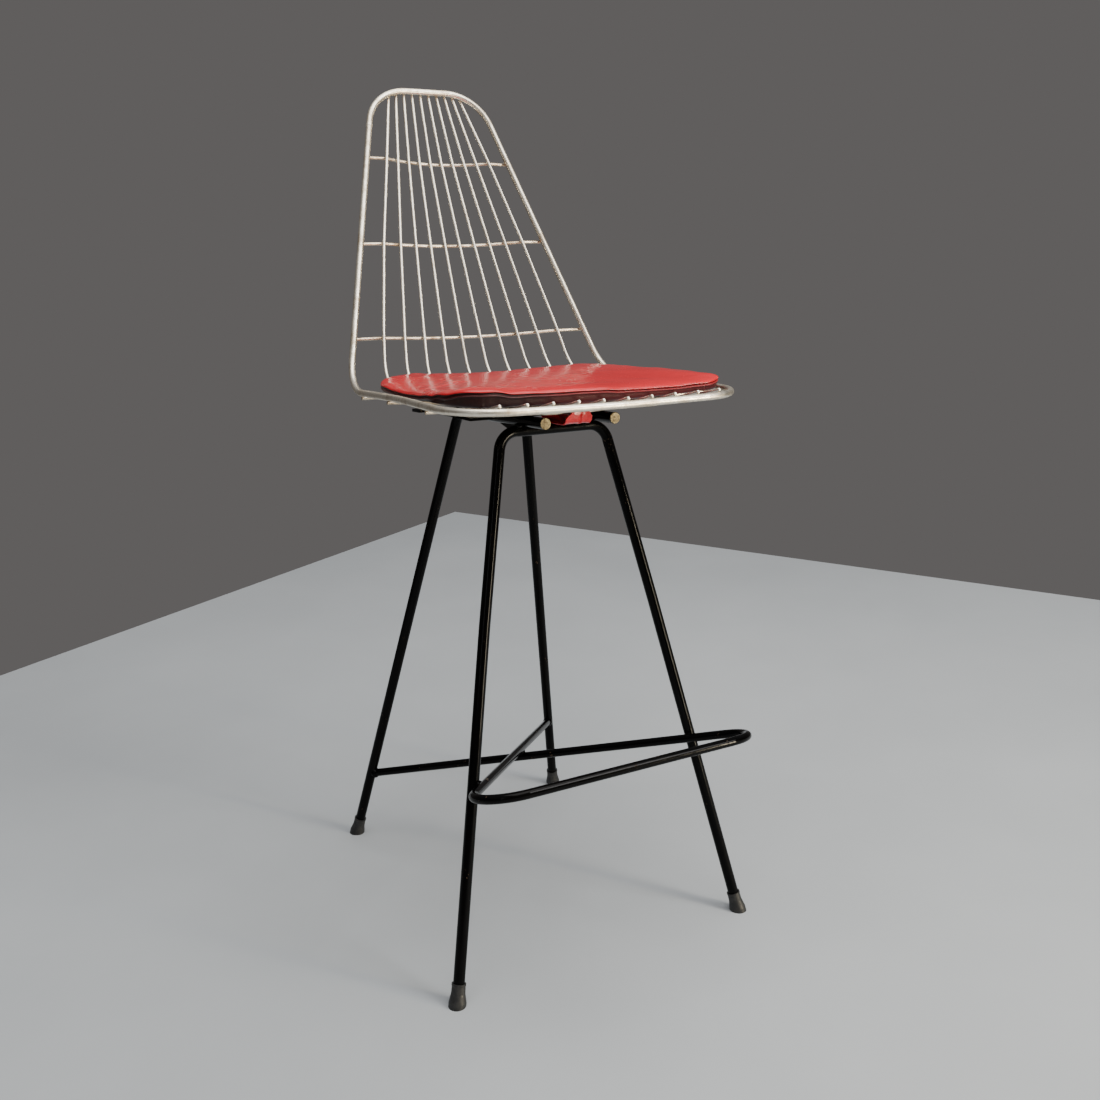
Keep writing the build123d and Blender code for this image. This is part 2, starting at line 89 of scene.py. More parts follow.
# Height of the upper seam over the flat underside, at places about the cushion's middle, in mm.
# At the front and the left it was read along the photo's seam. At the rear and the right it was
# estimated from the skyline of the cushion's top. It stands high at the front left corner and
# droops at the left side and at the front right.
SEAM_HEIGHTS = (
    ((-164, -166), 19.0),
    ((-123, -166), 13.8),
    ((-82, -166), 12.7),
    ((-41, -166), 12.1),
    ((0, -166), 11.3),
    ((41, -166), 9.2),
    ((82, -166), 8.5),
    ((123, -166), 8.6),
    ((164, -166), 10.5),
    ((205, -140), 16.0),
    ((212, -80), 16.2),
    ((212, -20), 16.0),
    ((212, 40), 14.0),
    ((205, 115), 13.5),
    ((165, 160), 13.8),
    ((115, 166), 11.2),
    ((60, 166), 9.4),
    ((10, 166), 6.8),
    ((-45, 166), 6.8),
    ((-95, 166), 9.8),
    ((-140, 166), 13.6),
    ((-185, 145), 14.6),
    ((-212, 90), 10.6),
    ((-212, 50), 7.4),
    ((-212, 8), 5.8),
    ((-212, -34), 7.0),
    ((-212, -76), 10.2),
    ((-208, -120), 14.6),
    ((-192, -152), 19.6),
)
SEAM_REACH = 15.0 * MM

# Cushion strap: a soft band of vinyl, narrow between the wires and wider where it hangs free
STRAP_WIDTH = 28.0 * MM
STRAP_FREE_WIDTH = 42.0 * MM
STRAP_THICKNESS = 1.8 * MM
STRAP_FREE_BELOW = 776.0 * MM
STRAP_LEAN = -3.0 * MM
STRAP_WIDENING = 10.0 * MM
STRAP_STEPS_ACROSS = 28
STRAP_CURL = 1.2 * MM
STRAP_FOLD = 1.6 * MM
STRAP_FOLD_AT, STRAP_FOLD_WIDTH = 0.25, 0.09
STRAP_WAVE = 0.8 * MM

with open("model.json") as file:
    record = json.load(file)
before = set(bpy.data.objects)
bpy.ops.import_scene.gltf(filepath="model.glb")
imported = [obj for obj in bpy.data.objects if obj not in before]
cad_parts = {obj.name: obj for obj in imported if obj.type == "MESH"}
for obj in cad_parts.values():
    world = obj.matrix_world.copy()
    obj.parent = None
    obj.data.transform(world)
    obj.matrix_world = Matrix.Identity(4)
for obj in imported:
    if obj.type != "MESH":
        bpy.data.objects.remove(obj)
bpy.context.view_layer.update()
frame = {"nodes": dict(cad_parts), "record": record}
nodes = frame["nodes"]


def box_middle(node):
    """The middle of a CAD node's box."""
    low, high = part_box(node)
    return (Vector(low) + Vector(high)) / 2


# --- Camera -----------------------------------------------------------------------------

def make_camera():
    """The camera that was fitted to the photo, placed from the middle of the four feet."""
    feet = [name for name in nodes if name.startswith("foot_cap")]
    middle = sum((box_middle(name) for name in feet), Vector()) / len(feet)
    middle.z = 0
    data = bpy.data.cameras.new("camera")
    data.lens = CAMERA_LENS
    data.sensor_width = 36.0
    data.shift_y = CAMERA_SHIFT_Y
    data.clip_end = 100
    camera = bpy.data.objects.new("camera", data)
    camera.location = middle + CAMERA_FROM_FEET
    camera.rotation_euler = CAMERA_TURN
    bpy.context.collection.objects.link(camera)
    bpy.context.scene.camera = camera


make_camera()


# --- Shader helpers -----------------------------------------------------------------------

class Finish:
    """A material whose colour, roughness and bump are built up from small named steps."""

    def __init__(self, name, colour, roughness, metallic=0.0):
        self.material = bpy.data.materials.new(name)
        self.material.use_nodes = True
        self.tree = self.material.node_tree
        self.shader = self.tree.nodes["Principled BSDF"]
        self.shader.inputs["Base Color"].default_value = (*colour, 1)
        self.shader.inputs["Roughness"].default_value = roughness
        self.shader.inputs["Metallic"].default_value = metallic
        self.place = self.tree.nodes.new("ShaderNodeTexCoord").outputs["Object"]
        self.height = None

    def set(self, **values):
        """Sets constant sockets of the shader: specular_ior_level sets "Specular IOR Level"."""
        for name, value in values.items():
            socket = " ".join(word.capitalize() for word in name.split("_"))
            self.shader.inputs[socket.replace("Ior", "IOR")].default_value = value

    def link(self, output, socket):
        self.tree.links.new(output, self.shader.inputs[socket])

    def noise(self, scale, detail, roughness, distortion=0.0):
        """Noise from 0 to 1; a larger scale gives finer noise."""
        node = self.tree.nodes.new("ShaderNodeTexNoise")
        node.inputs["Scale"].default_value = scale
        node.inputs["Detail"].default_value = detail
        node.inputs["Roughness"].default_value = roughness
        node.inputs["Distortion"].default_value = distortion
        self.tree.links.new(self.place, node.inputs["Vector"])
        return node.outputs["Fac"]

    def along(self, axis):
        """The place along one axis of the object."""
        node = self.tree.nodes.new("ShaderNodeSeparateXYZ")
        self.tree.links.new(self.place, node.inputs["Vector"])
        return node.outputs[axis]

    def cells(self, scale):
        """Distance to the nearest cell centre, for pebbled grain."""
        node = self.tree.nodes.new("ShaderNodeTexVoronoi")
        node.inputs["Scale"].default_value = scale
        self.tree.links.new(self.place, node.inputs["Vector"])
        return node.outputs["Distance"]

    def spread(self, value, low, high, to_low=0.0, to_high=1.0):
        """Maps low..high to to_low..to_high, clamped."""
        node = self.tree.nodes.new("ShaderNodeMapRange")
        for socket, number in zip(
            ("From Min", "From Max", "To Min", "To Max"), (low, high, to_low, to_high)
        ):
            node.inputs[socket].default_value = number
        self.tree.links.new(value, node.inputs["Value"])
        return node.outputs["Result"]

    def math(self, operation, first, second):
        """A two-input math node; second may be a number."""
        node = self.tree.nodes.new("ShaderNodeMath")
        node.operation = operation
        self.tree.links.new(first, node.inputs[0])
        if isinstance(second, (int, float)):
            node.inputs[1].default_value = second
        else:
            self.tree.links.new(second, node.inputs[1])
        return node.outputs["Value"]

    def mix(self, share, first, second):
        """Mixes two colours, given as tuples or as outputs."""
        node = self.tree.nodes.new("ShaderNodeMix")
        node.data_type = "RGBA"
        self.tree.links.new(share, node.inputs["Factor"])
        for socket, colour in (("A", first), ("B", second)):
            target = next(
                item for item in node.inputs if item.name == socket and item.type == "RGBA"
            )
            if isinstance(colour, tuple):
                target.default_value = (*colour, 1)
            else:
                self.tree.links.new(colour, target)
        return next(item for item in node.outputs if item.type == "RGBA")

    def colour(self, output):
        self.link(output, "Base Color")

    def roughness(self, output):
        self.link(output, "Roughness")

    def bump(self, value, distance, strength=1.0):
        """Adds a bump layer of that height, in metres, on the layers before it."""
        node = self.tree.nodes.new("ShaderNodeBump")
        node.inputs["Strength"].default_value = strength
        node.inputs["Distance"].default_value = distance
        self.tree.links.new(value, node.inputs["Height"])
        if self.height:
            self.tree.links.new(self.height, node.inputs["Normal"])
        self.height = node.outputs["Normal"]
        self.link(self.height, "Normal")


# --- Finishes -------------------------------------------------------------------------------

def black_paint():
    """Gloss black paint, slightly lumpy, chipped through to dull brown metal here and there."""
    finish = Finish("black_paint", (0.003, 0.003, 0.003), 0.2)
    patches = finish.noise(26, 3, 0.6)
    chips = finish.noise(210, 4, 0.65)
    wear = finish.math("MULTIPLY", patches, chips)
    chipped = finish.spread(wear, 0.40, 0.415)
    smudge = finish.spread(finish.noise(14, 4, 0.6), 0.35, 0.7)
    paint = finish.mix(smudge, (0.0008, 0.0008, 0.0009), (0.0022, 0.0020, 0.0018))
    finish.colour(finish.mix(chipped, paint, (0.070, 0.045, 0.028)))
    worn = finish.spread(finish.noise(48, 5, 0.7), 0.3, 0.75, 0.08, 0.20)
    finish.roughness(finish.math("ADD", worn, finish.math("MULTIPLY", chipped, 0.3)))
    finish.set(specular_ior_level=0.08)
    finish.bump(finish.noise(320, 2, 0.5), 0.04 * MM, 0.5)
    finish.bump(finish.noise(70, 2, 0.5), 0.20 * MM, 0.35)
    finish.bump(finish.spread(chipped, 0, 1, 1, 0), 0.08 * MM)
    return finish.material


def nickel(name, clean, stained, stain_from, stain_to):
    """Old satin nickel plate: warm, hazy and softly scratched, with a few dull stains."""
    finish = Finish(name, clean, 0.35, metallic=1.0)
    stain = finish.spread(finish.noise(38, 6, 0.7), stain_from, stain_to)
    specks = finish.spread(finish.noise(520, 2, 0.6), 0.72, 0.80)
    blotched = finish.mix(stain, clean, stained)
    finish.colour(finish.mix(specks, blotched, tuple(0.5 * part for part in stained)))
    hazy = finish.spread(finish.noise(70, 4, 0.6), 0.3, 0.7, 0.30, 0.40)
    finish.roughness(finish.math("ADD", hazy, finish.math("MULTIPLY", stain, 0.10)))
    finish.bump(finish.noise(900, 2, 0.5), 0.012 * MM, 0.5)
    finish.bump(finish.noise(120, 3, 0.6), 0.03 * MM, 0.3)
    return finish.material


def plug_brass():
    """Dull brass-coloured metal with a rough, pitted face."""
    finish = Finish("plug_brass", (0.42, 0.35, 0.22), 0.45, metallic=0.85)
    grime = finish.spread(finish.noise(300, 5, 0.7), 0.35, 0.65)
    finish.colour(finish.mix(grime, (0.21, 0.17, 0.095), (0.045, 0.033, 0.019)))
    finish.roughness(finish.spread(finish.noise(500, 3, 0.6), 0.3, 0.7, 0.30, 0.60))
    finish.bump(finish.noise(700, 4, 0.7), 0.25 * MM, 1.0)
    return finish.material


def foot_rubber():
    """Black rubber, greyed and scuffed in patches."""
    finish = Finish("foot_rubber", (0.012, 0.012, 0.012), 0.6)
    dust = finish.spread(finish.noise(120, 5, 0.7), 0.48, 0.78)
    finish.colour(finish.mix(dust, (0.008, 0.008, 0.008), (0.040, 0.038, 0.035)))
    finish.roughness(finish.spread(finish.noise(260, 3, 0.6), 0.3, 0.7, 0.38, 0.65))
    finish.bump(finish.noise(600, 3, 0.6), 0.06 * MM, 0.7)
    return finish.material


def red_vinyl(name, bright, deep, gloss, smear, left_shade=0.0):
    """Upholstery vinyl with a fine pebbled grain and faint creases. smear is its lowest
    roughness; left_shade paints shade on it, darkening it towards the left."""
    finish = Finish(name, bright, 0.3)
    shade = finish.spread(finish.noise(9, 4, 0.55), 0.35, 0.65)
    grain = finish.cells(620)
    veins = finish.spread(grain, 0.25, 0.6)
    base = finish.mix(shade, bright, deep)
    if left_shade:
        # Painted shade: the vinyl is darkened towards the left, where less light falls on the
        # cushion's side.
        painted_shade_share = finish.spread(finish.along("X"), PAINTED_SHADE_FULL_UP_TO_X, PAINTED_SHADE_ENDS_FROM_X, left_shade, 0.0)
        base = finish.mix(painted_shade_share, base, (0.006, 0.004, 0.004))
    finish.colour(finish.mix(finish.math("MULTIPLY", veins, 0.25), base, deep))
    smears = finish.noise(30, 5, 0.65)
    finish.roughness(finish.spread(smears, 0.3, 0.7, smear, smear + SMEAR_RANGE))
    finish.set(specular_ior_level=gloss)
    finish.bump(grain, 0.05 * MM, 0.4)
    finish.bump(finish.noise(44, 5, 0.6, distortion=0.6), 0.4 * MM, 0.3)
    finish.bump(finish.noise(12, 2, 0.5), 1.5 * MM, 0.22)
    return finish.material


def bright_stud():
    """Nickel-bright press stud, lightly scratched."""
    finish = Finish("bright_stud", (0.8, 0.78, 0.74), 0.2, metallic=1.0)
    finish.roughness(finish.spread(finish.noise(400, 4, 0.6), 0.3, 0.7, 0.12, 0.32))
    finish.bump(finish.noise(700, 2, 0.5), 0.03 * MM, 0.5)
    return finish.material


PAINT = black_paint()
RIM_NICKEL = nickel("rim_nickel", (0.88, 0.81, 0.68), (0.50, 0.40, 0.28), 0.46, 0.70)
WIRE_NICKEL = nickel("wire_nickel", (0.90, 0.84, 0.73), (0.56, 0.46, 0.34), 0.54, 0.78)
CROSS_NICKEL = nickel("cross_wire_nickel", (0.70, 0.60, 0.47), (0.34, 0.25, 0.16), 0.46, 0.66)
BRASS = plug_brass()
RUBBER = foot_rubber()
VINYL = red_vinyl("red_vinyl", (0.66, 0.011, 0.020), (0.50, 0.007, 0.012), 0.42, 0.19)
# Painted shade: the side band, the groove between the welts and the underside, and the lower welt,
# use darker copies of the red vinyl for the shade under the cushion's edge.
SHADED_SIDE_VINYL = red_vinyl(
    "red_vinyl_side_painted_shade", (0.105, 0.010, 0.012), (0.055, 0.006, 0.007), 0.16, 0.3, left_shade=0.9
)
SHADED_WELT_VINYL = red_vinyl(
    "red_vinyl_welt_painted_shade", (0.34, 0.020, 0.024), (0.24, 0.014, 0.016), 0.35, 0.3, left_shade=0.95
)
STUD = bright_stud()


def paint_frame():
    """Gives each CAD node that stays its finish."""
    by_slot = {
        "base_paint": PAINT,
        "foot_rubber": RUBBER,
        "plug_brass": BRASS,
        "press_stud": STUD,
        "shell_steel": WIRE_NICKEL,
    }
    slots = {part["node"]: part["material_slot"] for part in frame["record"]["subparts"]}
    for name, item in nodes.items():
        finish = by_slot.get(slots[name])
        if name in ("seat_rim", "rim_weld"):
            finish = RIM_NICKEL
        if "cross_wire" in name:
            finish = CROSS_NICKEL
        if finish:
            item.data.materials.clear()
            item.data.materials.append(finish)
        if item.type == "MESH":
            item.data.shade_smooth()
            item.data.set_sharp_from_angle(angle=math.radians(40))


paint_frame()


# --- Cushion: where it lies ---------------------------------------------------------------------

class SeatSurface:
    """The cushion's underside, found by rays cast up at its CAD solid."""

    FRONT_MARGIN, REAR_MARGIN = 1.0 * MM, 6.0 * MM
    START_BELOW = 50.0 * MM

    def __init__(self):
        solid = nodes["cushion_bottom_cover"].data
        points = [vertex.co for vertex in solid.vertices]
        faces = [tuple(face.vertices) for face in solid.polygons]
        self.tree = BVHTree.FromPolygons(points, faces)
        low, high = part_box("cushion_bottom_cover")
        self.low = Vector(low)
        self.high = Vector(high)
        self.middle = (self.low + self.high) / 2
        self.half_x = (self.high.x - self.low.x) / 2
        self.half_y = (self.high.y - self.low.y) / 2

    def at(self, y):
        """Height and upward normal of the underside at y, carried on past its ends."""
        inside = min(max(y, self.low.y + self.FRONT_MARGIN), self.high.y - self.REAR_MARGIN)
        start = Vector((self.middle.x, inside, self.low.z - self.START_BELOW))
        hit, normal, _, _ = self.tree.ray_cast(start, Vector((0, 0, 1)))
        up = -normal if normal.z < 0 else normal
        beyond = y - inside
        return hit.z - beyond * up.y / up.z, up

    def place(self, point, height):
        """The space point over a plan position about the cushion's middle."""
        x = self.middle.x + point.x
        y = self.middle.y + point.y
        z, up = self.at(y)
        return Vector((x, y + up.y * height, z + up.z * height))


seat = SeatSurface()


class Outline:
    """The cushion's outline in plan about its middle: four sides and four corner arcs, going
    round anticlockwise from the left end of the front side."""

    def __init__(self):
        signs = ((1, -1), (1, 1), (-1, 1), (-1, -1))
        self.radii = [
            FRONT_RIGHT_RADIUS,
            REAR_RIGHT_RADIUS,
            REAR_LEFT_RADIUS,
            FRONT_LEFT_RADIUS,
        ]
        self.centres = [
            Vector((across * (seat.half_x - radius), deep * (seat.half_y - radius)))
            for (across, deep), radius in zip(signs, self.radii)
        ]
        self.sides = []
        for corner in range(4):
            out = self.facing(corner * math.pi / 2 - math.pi / 2)
            start = self.centres[corner - 1] + out * self.radii[corner - 1]
            end = self.centres[corner] + out * self.radii[corner]
            self.sides.append((start, end, out))
        self.lengths = []
        for (start, end, _), radius in zip(self.sides, self.radii):
            self.lengths += [(end - start).length, radius * math.pi / 2]
        self.total = sum(self.lengths)

    @staticmethod
    def facing(angle):
        return Vector((math.cos(angle), math.sin(angle)))

    def corner_middle(self, corner):
        """Distance along the outline to the middle of a corner arc."""
        span = 2 * corner + 1
        return sum(self.lengths[:span]) + self.lengths[span] / 2

    def at(self, way):
        """Position and outward direction at a distance along the outline."""
        way %= self.total
        span = 0
        while span < 7 and way > self.lengths[span]:
            way -= self.lengths[span]
            span += 1
        corner = span // 2
        share = way / self.lengths[span]
        if span % 2 == 0:
            start, end, out = self.sides[corner]
            bow = SIDE_PULL_IN * math.sin(math.pi * share) ** 2
            return start.lerp(end, share) - out * bow, out
        out = self.facing((corner + share - 1) * math.pi / 2)
        return self.centres[corner] + out * self.radii[corner], out


outline = Outline()


def inset_from_edge(point):
    """How far inside the outline a plan position is."""
    if point.x > 0:
        corner = 1 if point.y > 0 else 0
    else:
        corner = 2 if point.y > 0 else 3
    radius = outline.radii[corner]
    across = abs(point.x) - (seat.half_x - radius)
    deep = abs(point.y) - (seat.half_y - radius)
    outside = math.hypot(max(across, 0), max(deep, 0)) + min(max(across, deep), 0)
    return max(radius - outside, 0)


def smooth_step(value):
    value = min(max(value, 0), 1)
    return value * value * (3 - 2 * value)


def ripple(point, scale, seed):
    """Smooth noise from -1 to 1 over the plan, with about scale waves per metre."""
    return noise.noise(Vector((point.x * scale, point.y * scale, seed)))


def frontness(point):
    """0 over the rear of the seat, rising to 1 at the front edge."""
    return smooth_step((-(seat.middle.y + point.y) - FRONT_FROM) / FRONT_REACH)


# --- Cushion: its heights above the underside ----------------------------------------------------

def upper_welt(point):
    """The upper welt's height, blended between the places in SEAM_HEIGHTS."""
    total = weights = 0
    for place, height in SEAM_HEIGHTS:
        weight = ((point - Vector(place) * MM).length_squared + SEAM_REACH**2) ** -1.5
        total += weight * height * MM
        weights += weight
    return total / weights + UPPER_WELT_RIPPLE * ripple(point, 55, 8.4)


def lower_welt(point):
    """The lower welt follows the upper one, and parts from it a little at the left."""
    parting = smooth_step((-point.x - WELT_PARTING_FROM) / WELT_PARTING_REACH)
    gap = WELT_GAP + WELT_PARTING * parting + LOWER_WELT_RIPPLE * ripple(point, 30, 5.5)
    return upper_welt(point) - gap


def top_height(point):
    """The top panel: rolled over at its edge, crowned, a little lumpy and puckered."""
    inset = inset_from_edge(point)
    share = min(inset / TOP_ROLL_WIDTH, 1)
    roll = TOP_ROLL * math.sqrt(1 - (1 - share) ** 2)
    crown = TOP_CROWN * (1 - (point.x / seat.half_x) ** 2) * (1 - (point.y / seat.half_y) ** 2)
    pucker = TOP_PUCKER * ripple(point, 46, 7.7) * math.exp(-inset / TOP_PUCKER_REACH) * share
    lumps = TOP_LUMPS * ripple(point, 9, 1.3) * smooth_step(inset / TOP_LUMPS_REACH)
    return upper_welt(point) + roll + crown + pucker + lumps


def under_height(point):
    """The underside: it rests on the outer wires and sags into the cupped shell between."""
    inset = inset_from_edge(point)
    cup = max(1 - (point.x / seat.half_x) ** 2, 0)
    sag = UNDER_SAG * cup * smooth_step(inset / UNDER_SAG_REACH)
    sag += FRONT_SAG * cup * frontness(point)
    return UNDER_LIFT - min(sag, SAG_LIMIT * cup) + UNDER_RIPPLE * ripple(point, 40, 12.2)


# The side band from top to bottom: how far out of the outline in mm, from which level, and how
# far up in mm. A wall's rise is a share instead, from the underside, 0, to the lower welt, 1.
SIDE_BAND = (
    (-1.1, "upper", 1.6),
    (-0.2, "upper", 0.8),
    (0.0, "upper", -0.4),
    (-0.9, "upper", -1.3),
    (-2.2, "upper", -1.6),
    (-2.2, "lower", 1.6),
    (-0.9, "lower", 1.2),
    (-0.1, "lower", 0.4),
    (-0.3, "lower", -0.6),
    (-1.4, "lower", -1.3),
    (-1.8, "wall", 0.70),
    (-2.2, "wall", 0.45),
    (-3.2, "wall", 0.20),
    (-5.6, "wall", 0.04),
)
# The cushion's material slots: the top panel's red vinyl, and darker copies with painted shade for
# the side band, groove and underside and for the lower welt. Listed are the strips of faces that
# don't have the side's; strips are counted from the top panel's border down.
TOP_SLOT, SHADED_SIDE_SLOT, SHADED_WELT_SLOT = 0, 1, 2
STRIP_SLOTS = {0: TOP_SLOT, 1: TOP_SLOT, 2: TOP_SLOT, 6: SHADED_WELT_SLOT, 7: SHADED_WELT_SLOT, 8: SHADED_WELT_SLOT}


def side_height(point, level, rise):
    """Height of a ring of the side band."""
    if level == "upper":
        return upper_welt(point) + rise * MM
    if level == "lower":
        return lower_welt(point) + rise * MM
    base = under_height(point)
    return base + rise * (lower_welt(point) - base)


# --- Cushion: its mesh -----------------------------------------------------------------------------

def eased(count):
    """Steps from 0 to 1 that bunch up towards both ends."""
    return [(1 - math.cos(math.pi * step / count)) / 2 for step in range(count + 1)]


def border_ways():
    """Distances along the outline for the grids' front, right, rear and left borders."""
    steps = {"x": eased(GRID_ALONG_X), "y": eased(GRID_ALONG_Y)}
    ends = [outline.corner_middle(3) - outline.total] + [outline.corner_middle(i) for i in range(4)]
    ways = []
    for number, axis in enumerate(("x", "y", "x", "y")):
        start, end = ends[number], ends[number + 1]
        ways.append([start + (end - start) * step for step in steps[axis]])
    return ways


WAYS = border_ways()


def ring_point(way, out_by):
    """Plan position beside the outline, moved outwards."""
    position, out = outline.at(way)
    return position + out * out_by


def plan_grid(inset):
    """Plan positions inside the outline, blended inwards from its four borders."""
    front, right, rear, left = [[ring_point(way, -inset) for way in ways] for ways in WAYS]
    rear = rear[::-1]
    left = left[::-1]
    rows, columns = eased(GRID_ALONG_Y), eased(GRID_ALONG_X)
    plan = []
    for row, v in enumerate(rows):
        line = []
        for column, u in enumerate(columns):
            ruled = (1 - v) * front[column] + v * rear[column]
            ruled += (1 - u) * left[row] + u * right[row]
            corners = (1 - u) * (1 - v) * front[0] + u * (1 - v) * front[-1]
            corners += (1 - u) * v * rear[0] + u * v * rear[-1]
            line.append(ruled - corners)
        plan.append(line)
    return plan


def grid_border(grid):
    """A grid's border vertices in the outline's order, without repeating the corners."""
    front = grid[0][:-1]
    right = [row[-1] for row in grid[:-1]]
    rear = grid[-1][:0:-1]
    left = [row[0] for row in grid[:0:-1]]
    return front + right + rear + left


def add_panel(mesh, inset, height, slot):
    """The top panel or the underside, as a grid of faces; returns its border."""
    grid = [
        [mesh.verts.new(seat.place(point, height(point))) for point in line]
        for line in plan_grid(inset)
    ]
    for row in range(len(grid) - 1):
        for column in range(len(grid[0]) - 1):
            near = (row, column), (row, column + 1), (row + 1, column + 1), (row + 1, column)
            corners = [grid[r][c] for r, c in near]
            face = mesh.faces.new(corners if slot == TOP_SLOT else corners[::-1])
            face.material_index = slot
    return grid_border(grid)


def cushion_body():
    """The stuffed pad: its top panel, side band with two welts, and underside."""
    mesh = bmesh.new()
    rings = [add_panel(mesh, TOP_INSET, top_height, TOP_SLOT)]
    ways = [way for border in WAYS for way in border[:-1]]
    for out_by, level, rise in SIDE_BAND:
        ring = []
        for way in ways:
            point = ring_point(way, out_by * MM)
            ring.append(mesh.verts.new(seat.place(point, side_height(point, level, rise))))
        rings.append(ring)
    # The underside takes the side's darker copy of the vinyl, a painted shade.
    rings.append(add_panel(mesh, UNDER_INSET, under_height, SHADED_SIDE_SLOT))
    for number, (upper, lower) in enumerate(zip(rings, rings[1:])):
        for step in range(len(upper)):
            after = (step + 1) % len(upper)
            face = mesh.faces.new((upper[step], lower[step], lower[after], upper[after]))
            # Strips that are not listed, the groove between the welts and the band below them, take
            # the side's painted shade.
            face.material_index = STRIP_SLOTS.get(number, SHADED_SIDE_SLOT)
    mesh.verts.index_update()
    held = [vertex.index for ring in rings for vertex in ring]
    cushion = new_mesh_object("cushion_body", mesh, (VINYL, SHADED_SIDE_VINYL, SHADED_WELT_VINYL))
    inflate(cushion, held)
    smooth = cushion.modifiers.new("smooth", "SUBSURF")
    smooth.levels = smooth.render_levels = 1
    apply_modifiers(cushion)
    return cushion


def new_mesh_object(name, mesh, materials):
    """An object made from a bmesh, with its materials."""
    data = bpy.data.meshes.new(name)
    mesh.to_mesh(data)
    mesh.free()
    for material in materials:
        data.materials.append(material)
    data.shade_smooth()
    item = bpy.data.objects.new(name, data)
    bpy.context.collection.objects.link(item)
    return item


def apply_modifiers(item):
    """Turns an object's modifiers into its own mesh."""
    graph = bpy.context.evaluated_depsgraph_get()
    graph.update()
    done = bpy.data.meshes.new_from_object(item.evaluated_get(graph))
    item.modifiers.clear()
    item.data = done
    item.data.shade_smooth()


def inflate(cushion, held):
    """Puffs the pad with the cloth solver, its edge held, and caps how far a point moves."""
    before = [vertex.co.copy() for vertex in cushion.data.vertices]
    group = cushion.vertex_groups.new(name="held")
    group.add(held, 1.0, "REPLACE")
    cloth = cushion.modifiers.new("cloth", "CLOTH")
    settings = cloth.settings
    settings.quality = 6
    settings.mass = 0.3
    settings.tension_stiffness = settings.compression_stiffness = 25
    settings.shear_stiffness = 8
    settings.bending_stiffness = 1.5
    settings.use_pressure = True
    settings.uniform_pressure_force = 4
    settings.vertex_group_mass = "held"
    settings.effector_weights.gravity = 0
    cloth.point_cache.frame_start = 1
    cloth.point_cache.frame_end = INFLATE_FRAMES
    for step in range(1, INFLATE_FRAMES + 1):
        bpy.context.scene.frame_set(step)
    graph = bpy.context.evaluated_depsgraph_get()
    puffed = bpy.data.meshes.new_from_object(cushion.evaluated_get(graph))
    cushion.modifiers.clear()
    for vertex, old, new in zip(cushion.data.vertices, before, puffed.vertices):
        move = new.co - old
        if move.length > INFLATE_CAP:
            move *= INFLATE_CAP / move.length
        if move.z < 0:
            move *= DOWNWARD_SHARE
        vertex.co = old + move
    bpy.data.meshes.remove(puffed)
    bpy.context.scene.frame_set(1)


cushion = cushion_body()
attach(cushion, "root")
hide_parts("cushion_top_cover", "cushion_bottom_cover", "cushion_core")


# --- Cushion strap ------------------------------------------------------------------------------

def strap_path():
    """The band's middle line in side view: down in front, under the cross strap and back up."""
    low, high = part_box("cushion_strap")
    front = low[1] + MM
    rear = high[1] - MM
    bottom = low[2] + 1.5 * MM
    top = high[2]
    corners = [
        (front + 3 * MM, top + 1.5 * MM),
        (front, top - 14 * MM),
        (front - 1.5 * MM, bottom + 14 * MM),
        (front + 0.5 * MM, bottom + 3 * MM),
        (front + 11 * MM, bottom - 0.5 * MM),
        (front + 32 * MM, bottom - 0.8 * MM),
        (rear - 15 * MM, bottom + 0.6 * MM),
        (rear - 3 * MM, bottom + 4 * MM),
        (rear + 0.5 * MM, bottom + 14 * MM),
        (rear, top - 12 * MM),
        (rear - 2 * MM, top - 0.5 * MM),
    ]
    curve = bpy.data.curves.new("strap_path", "CURVE")
    curve.dimensions = "3D"
    curve.resolution_u = 12
    spline = curve.splines.new("NURBS")
    spline.points.add(len(corners) - 1)
    for point, (y, z) in zip(spline.points, corners):
        point.co = (0, y, z, 1)
    spline.use_endpoint_u = True
    spline.order_u = 3
    holder = bpy.data.objects.new("strap_path", curve)
    bpy.context.collection.objects.link(holder)
    line = [vertex.co.copy() for vertex in bpy.data.meshes.new_from_object(holder).vertices]
    bpy.data.objects.remove(holder)
    return line


